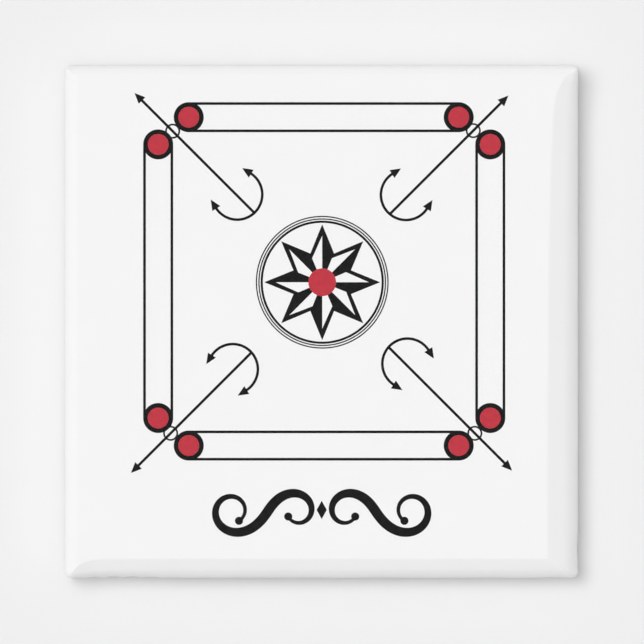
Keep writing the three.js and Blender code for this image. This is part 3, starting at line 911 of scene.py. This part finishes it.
def scroll(name, side):
    """An S-shaped stroke, thick in the middle, that rolls up towards both ends and ends in drops."""
    inner, outer = (scroll_half(*half) for half in SCROLL_HALVES)
    left, right = [], []
    for x, y, heading, share in inner[::-1] + outer[1:]:
        swell = max(math.cos(math.pi / 2 * share), 0) ** SCROLL_TAPER
        half = (SCROLL_THIN + (SCROLL_THICK - SCROLL_THIN) * swell) / 2
        left.append((x - half * math.sin(heading), y + half * math.cos(heading)))
        right.append((x + half * math.sin(heading), y - half * math.cos(heading)))
    loops = [left + right[::-1]]
    loops += [circle(half[-1][:2], SCROLL_BALL) for half in (inner, outer)]
    centre_x, centre_y = place("ornament_diamond")[0]
    shapes = [[[(centre_x + side * x, centre_y + y) for x, y in loop]] for loop in loops]
    return ink(name, shapes, BLACK)


def diamond():
    """The small diamond between the two scrolls."""
    (x, y), half_x, half_y = place("ornament_diamond")
    loop = [(x + half_x, y), (x, y + half_y), (x - half_x, y), (x, y - half_y)]
    return ink("ornament_diamond", [[loop]], BLACK)


# ---- Materials ----


class Nodes:
    """A material's node tree, with short calls for the nodes that the materials share."""

    def __init__(self, name):
        self.material = bpy.data.materials.new(name)
        self.material.use_nodes = True
        self.tree = self.material.node_tree
        self.tree.nodes.clear()
        self.output = self.tree.nodes.new("ShaderNodeOutputMaterial")
        self.place = self.tree.nodes.new("ShaderNodeTexCoord").outputs["Object"]

    def add(self, kind, sockets=None, **settings):
        """A node with its settings, and its input sockets set or linked by name."""
        made = self.tree.nodes.new(kind)
        for key, value in settings.items():
            setattr(made, key, value)
        for key, value in (sockets or {}).items():
            if isinstance(value, bpy.types.NodeSocket):
                self.tree.links.new(value, made.inputs[key])
            else:
                made.inputs[key].default_value = value
        return made

    def stretched(self, x, y, z):
        """Object coordinates, scaled along each axis."""
        sockets = {"Vector": self.place, "Scale": (x, y, z)}
        return self.add("ShaderNodeMapping", sockets).outputs["Vector"]

    def noise(self, size, detail=4, vector=None, rough=0.5):
        """Noise whose blobs are about size across."""
        sockets = {"Vector": vector or self.place, "Scale": 1 / size, "Detail": detail, "Roughness": rough}
        return self.add("ShaderNodeTexNoise", sockets).outputs["Fac"]

    def span(self, value, low, high, low_in=0.3, high_in=0.7):
        """A value mapped from where noise mostly lies to low and high."""
        sockets = {"Value": value, "From Min": low_in, "From Max": high_in, "To Min": low, "To Max": high}
        return self.add("ShaderNodeMapRange", sockets).outputs["Result"]

    def blend(self, factor, first, second):
        """A colour between two colours."""
        mixed = self.add("ShaderNodeMix", {"Factor": factor}, data_type="RGBA")
        for socket, colour in (("A", first), ("B", second)):
            inputs = [one for one in mixed.inputs if one.name == socket and one.type == "RGBA"]
            if isinstance(colour, bpy.types.NodeSocket):
                self.tree.links.new(colour, inputs[0])
            else:
                inputs[0].default_value = (*colour, 1)
        return [one for one in mixed.outputs if one.type == "RGBA"][0]

    def sum(self, first, second, share):
        """first plus share of second."""
        sockets = {0: second, 1: share, 2: first}
        return self.add("ShaderNodeMath", sockets, operation="MULTIPLY_ADD").outputs[0]

    def bump(self, height, depth, strength=1.0):
        """A normal from a height of the given depth."""
        sockets = {"Height": height, "Distance": depth, "Strength": strength}
        return self.add("ShaderNodeBump", sockets).outputs["Normal"]

    def finish(self, shader):
        """Link the shader to the output, and give the material."""
        self.tree.links.new(shader, self.output.inputs["Surface"])
        return self.material


def clear_plastic():
    """Satin polyester film: it lets the print through and mirrors a little, unevenly."""
    nodes = Nodes("clear_film_satin")
    ripple = nodes.noise(1.6 * MM, detail=2)
    haze = nodes.noise(0.25 * MM, detail=6)
    scratches = nodes.noise(0.12 * MM, detail=3, vector=nodes.stretched(1, 0.03, 1))
    height = nodes.sum(ripple, scratches, 0.02)
    normal = nodes.bump(height, 0.004 * MM, 0.6)
    roughness = nodes.span(haze, FILM_ROUGHNESS - FILM_HAZE, FILM_ROUGHNESS + FILM_HAZE)
    gloss = nodes.add("ShaderNodeBsdfGlossy", {"Roughness": roughness, "Normal": normal})
    through = nodes.add("ShaderNodeBsdfTransparent")
    grazing = nodes.add("ShaderNodeLayerWeight", {"Blend": 0.5, "Normal": normal}).outputs["Facing"]
    grazing = nodes.add("ShaderNodeMath", {0: grazing, 1: 5.0}, operation="POWER").outputs[0]
    mirror = nodes.span(grazing, FILM_MIRROR, FILM_MIRROR_GRAZING, 0, 1)
    mixed = nodes.add("ShaderNodeMixShader", {0: mirror, 1: through.outputs[0], 2: gloss.outputs[0]})
    return nodes.finish(mixed.outputs[0])


def paper():
    """Bright coated paper with the faintest cloud and fibre in it."""
    nodes = Nodes("paper_white")
    cloud = nodes.span(nodes.noise(3 * MM, detail=3), 0, 1)
    fibre = nodes.noise(0.06 * MM, detail=5, vector=nodes.stretched(1, 0.35, 1))
    colour = nodes.blend(cloud, PAPER_WHITE, [PAPER_CLOUD * part for part in PAPER_WHITE])
    sockets = {"Base Color": colour, "Roughness": 0.85, "Specular IOR Level": 0.2}
    sockets["Normal"] = nodes.bump(fibre, 0.002 * MM, 0.5)
    return nodes.finish(nodes.add("ShaderNodeBsdfPrincipled", sockets).outputs[0])


def printed(name, deep, light):
    """Printing ink, a little uneven, as it lies on the paper's fibre."""
    nodes = Nodes(name)
    mottle = nodes.sum(nodes.noise(0.45 * MM, detail=3), nodes.noise(0.07 * MM, detail=4), 0.5)
    colour = nodes.blend(nodes.span(mottle, 0, 1, 0.6, 0.9), deep, light)
    sockets = {"Base Color": colour, "Roughness": 0.6, "Specular IOR Level": 0.2}
    sockets["Normal"] = nodes.bump(mottle, 0.002 * MM, 0.5)
    return nodes.finish(nodes.add("ShaderNodeBsdfPrincipled", sockets).outputs[0])


def tinplate():
    """Bare rolled tinplate: fine rolling lines, dull clouds and a few scratches."""
    nodes = Nodes("tinplate_rolled")
    lines = nodes.noise(0.05 * MM, detail=4, vector=nodes.stretched(0.012, 1, 1))
    cloud = nodes.noise(5 * MM, detail=4)
    scratch = nodes.noise(0.16 * MM, detail=2, vector=nodes.stretched(1, 0.02, 1))
    scratch = nodes.span(scratch, 0, 1, 0.66, 0.7)
    colour = nodes.blend(nodes.span(cloud, 0, 1), (0.52, 0.53, 0.54), (0.64, 0.65, 0.66))
    colour = nodes.blend(nodes.span(lines, 0, 0.25), colour, (0.4, 0.41, 0.42))
    roughness = nodes.sum(nodes.span(cloud, 0.26, 0.4), scratch, 0.12)
    height = nodes.sum(lines, scratch, -0.6)
    sockets = {"Base Color": colour, "Metallic": 1.0, "Roughness": roughness, "Anisotropic": 0.4}
    sockets["Normal"] = nodes.bump(height, 0.003 * MM, 0.6)
    return nodes.finish(nodes.add("ShaderNodeBsdfPrincipled", sockets).outputs[0])


def ferrite():
    """Sintered ferrite: near black, fine-grained, with grinding lines and small pits."""
    nodes = Nodes("ferrite_ground")
    grain = nodes.noise(0.12 * MM, detail=6, rough=0.6)
    grinding = nodes.noise(0.09 * MM, detail=3, vector=nodes.stretched(1, 0.02, 1))
    cells = nodes.add("ShaderNodeTexVoronoi", {"Vector": nodes.place, "Scale": 1 / (0.7 * MM)})
    pits = nodes.span(cells.outputs["Distance"], 1, 0, 0.05, 0.16)
    colour = nodes.blend(nodes.span(grain, 0, 1), (0.022, 0.022, 0.024), (0.06, 0.061, 0.064))
    colour = nodes.blend(nodes.span(grinding, 0, 0.4), colour, (0.1, 0.1, 0.105))
    height = nodes.sum(nodes.sum(grain, grinding, 0.6), pits, -1.5)
    sockets = {"Base Color": colour, "Roughness": nodes.span(grain, 0.42, 0.62)}
    sockets["Normal"] = nodes.bump(height, 0.012 * MM, 0.7)
    return nodes.finish(nodes.add("ShaderNodeBsdfPrincipled", sockets).outputs[0])


def foam_tape():
    """White foam tape: small open cells between its two adhesive faces, with painted shade darkening each
    cell's hollow.
    """
    nodes = Nodes("foam_tape_white")
    cells = nodes.add("ShaderNodeTexVoronoi", {"Vector": nodes.place, "Scale": 1 / (0.18 * MM)})
    depth = nodes.span(cells.outputs["Distance"], 1, 0, 0.1, 0.5)
    # Painted shade: the colour is darker where each cell is deepest.
    colour = nodes.blend(depth, (0.82, 0.8, 0.74), (0.62, 0.6, 0.54))
    sockets = {"Base Color": colour, "Roughness": 0.9}
    sockets["Normal"] = nodes.bump(depth, -0.02 * MM, 0.6)
    return nodes.finish(nodes.add("ShaderNodeBsdfPrincipled", sockets).outputs[0])


def studio_floor():
    """Matt pale board, with painted shade that darkens its colour close to what stands on it."""
    nodes = Nodes("floor_pale")
    tone = nodes.span(nodes.noise(60 * MM, detail=2), 0, 1)
    colour = nodes.blend(tone, FLOOR_WHITE, [FLOOR_CLOUD * part for part in FLOOR_WHITE])
    # Painted shade: an ambient occlusion mask darkens the floor's colour beside the button, where shadow
    # falls.
    openness = nodes.add("ShaderNodeAmbientOcclusion", {"Distance": FLOOR_PAINTED_SHADE_REACH}).outputs["AO"]
    painted_shade = nodes.span(openness, 1, 0, 0.5, 1)
    colour = nodes.blend(painted_shade, colour, [(1 - FLOOR_PAINTED_SHADE) * part for part in FLOOR_WHITE])
    sockets = {"Base Color": colour, "Roughness": 0.95, "Specular IOR Level": 0.0}
    return nodes.finish(nodes.add("ShaderNodeBsdfPrincipled", sockets).outputs[0])


BLACK = printed("ink_black", *BLACK_TONES)
RED = printed("ink_red", *RED_TONES)

# ---- The button ----

wrapped("film_wrap", 0, FILM, hem_stations, clear_plastic(), "clear_film")
wrapped("paper_wrap", PAPER_DEPTH, PAPER, hem_stations, paper(), "printed_paper")
wrapped("shell_pressing", SHELL_DEPTH, TINPLATE, shell_end, tinplate(), "front_shell")
back_pan()
magnet()
tape()

for line_name, line_turn in BASE_LINES.items():
    base_line(line_name, line_turn)
for disc_name in BASE_DISCS:
    red_disc(f"base_disc_{disc_name}")
for corner in CORNER_MARKS:
    corner_mark(corner)
for ring_name, ring_width in CENTRE_RINGS.items():
    centre_ring(ring_name, ring_width)
centre_star()
red_disc("centre_disc")
scroll("ornament_left", -1)
scroll("ornament_right", 1)
diamond()

# ---- Stage, light and camera ----


def floor():
    """A wide flat floor that isn't part of the button."""
    mesh = bpy.data.meshes.new("floor")
    reach = FLOOR_REACH
    corners = [(-reach, -reach, 0), (reach, -reach, 0), (reach, reach, 0), (-reach, reach, 0)]
    mesh.from_pydata(corners, [], [(0, 1, 2, 3)])
    mesh.materials.append(studio_floor())
    made = bpy.data.objects.new("floor", mesh)
    bpy.context.scene.collection.objects.link(made)


def soft_sun(name, share, tilt, turn, spread, glossy):
    """A wide distant light that gives its share of the light on the floor, or shows only in gloss."""
    light = bpy.data.lights.new(name, "SUN")
    light.energy = math.pi * share / math.cos(tilt)
    light.angle = spread
    made = bpy.data.objects.new(name, light)
    towards = Vector((-math.sin(tilt) * math.cos(turn), math.sin(tilt) * math.sin(turn), math.cos(tilt)))
    made.rotation_euler = towards.to_track_quat("Z", "Y").to_euler()
    made.location = towards
    made.visible_glossy = glossy
    made.visible_diffuse = not glossy
    bpy.context.scene.collection.objects.link(made)


def ambient_light():
    """A white tent round the stage: dim above, where the lights are, and bright near the horizon."""
    world = bpy.data.worlds.new("studio")
    world.use_nodes = True
    tree = world.node_tree

    def calculated(operation, *values):
        """The result of a math node, from numbers and sockets."""
        made = tree.nodes.new("ShaderNodeMath")
        made.operation = operation
        for index, value in enumerate(values):
            if isinstance(value, bpy.types.NodeSocket):
                tree.links.new(value, made.inputs[index])
            else:
                made.inputs[index].default_value = value
        return made.outputs[0]

    direction = tree.nodes.new("ShaderNodeTexCoord").outputs["Generated"]
    parts = tree.nodes.new("ShaderNodeSeparateXYZ")
    tree.links.new(direction, parts.inputs[0])
    lowness = calculated("SUBTRACT", 1, parts.outputs["Z"])
    glow = calculated("MULTIPLY_ADD", calculated("POWER", lowness, 2), HORIZON - ZENITH, ZENITH)
    background = tree.nodes["Background"]
    tree.links.new(glow, background.inputs["Strength"])
    background.inputs["Color"].default_value = (1, 1, 1, 1)
    bpy.context.scene.world = world


def camera():
    """A long lens straight above the button."""
    data = bpy.data.cameras.new("camera")
    data.sensor_width = SENSOR
    data.lens = LENS
    data.clip_start = CLIP_START
    data.clip_end = CLIP_END
    made = bpy.data.objects.new("camera", data)
    made.location = (OFF_CENTRE, -OFF_CENTRE, OUTLINE_HEIGHT + FIELD * LENS / SENSOR)
    bpy.context.scene.collection.objects.link(made)
    bpy.context.scene.camera = made


floor()
soft_sun("overhead", OVERHEAD, 0, 0, OVERHEAD_SPREAD, glossy=False)
soft_sun("key", KEY, KEY_TILT, KEY_TURN, KEY_SPREAD, glossy=False)
soft_sun("sheen", SHEEN, SHEEN_TILT, SHEEN_TURN, SHEEN_SPREAD, glossy=True)
for glint_name, glint_turn in GLINT_TURNS.items():
    soft_sun(f"glint_{glint_name}", GLINT, GLINT_TILT, math.radians(glint_turn), GLINT_SPREAD, glossy=True)
ambient_light()
camera()
bpy.context.scene.view_settings.view_transform = "Standard"
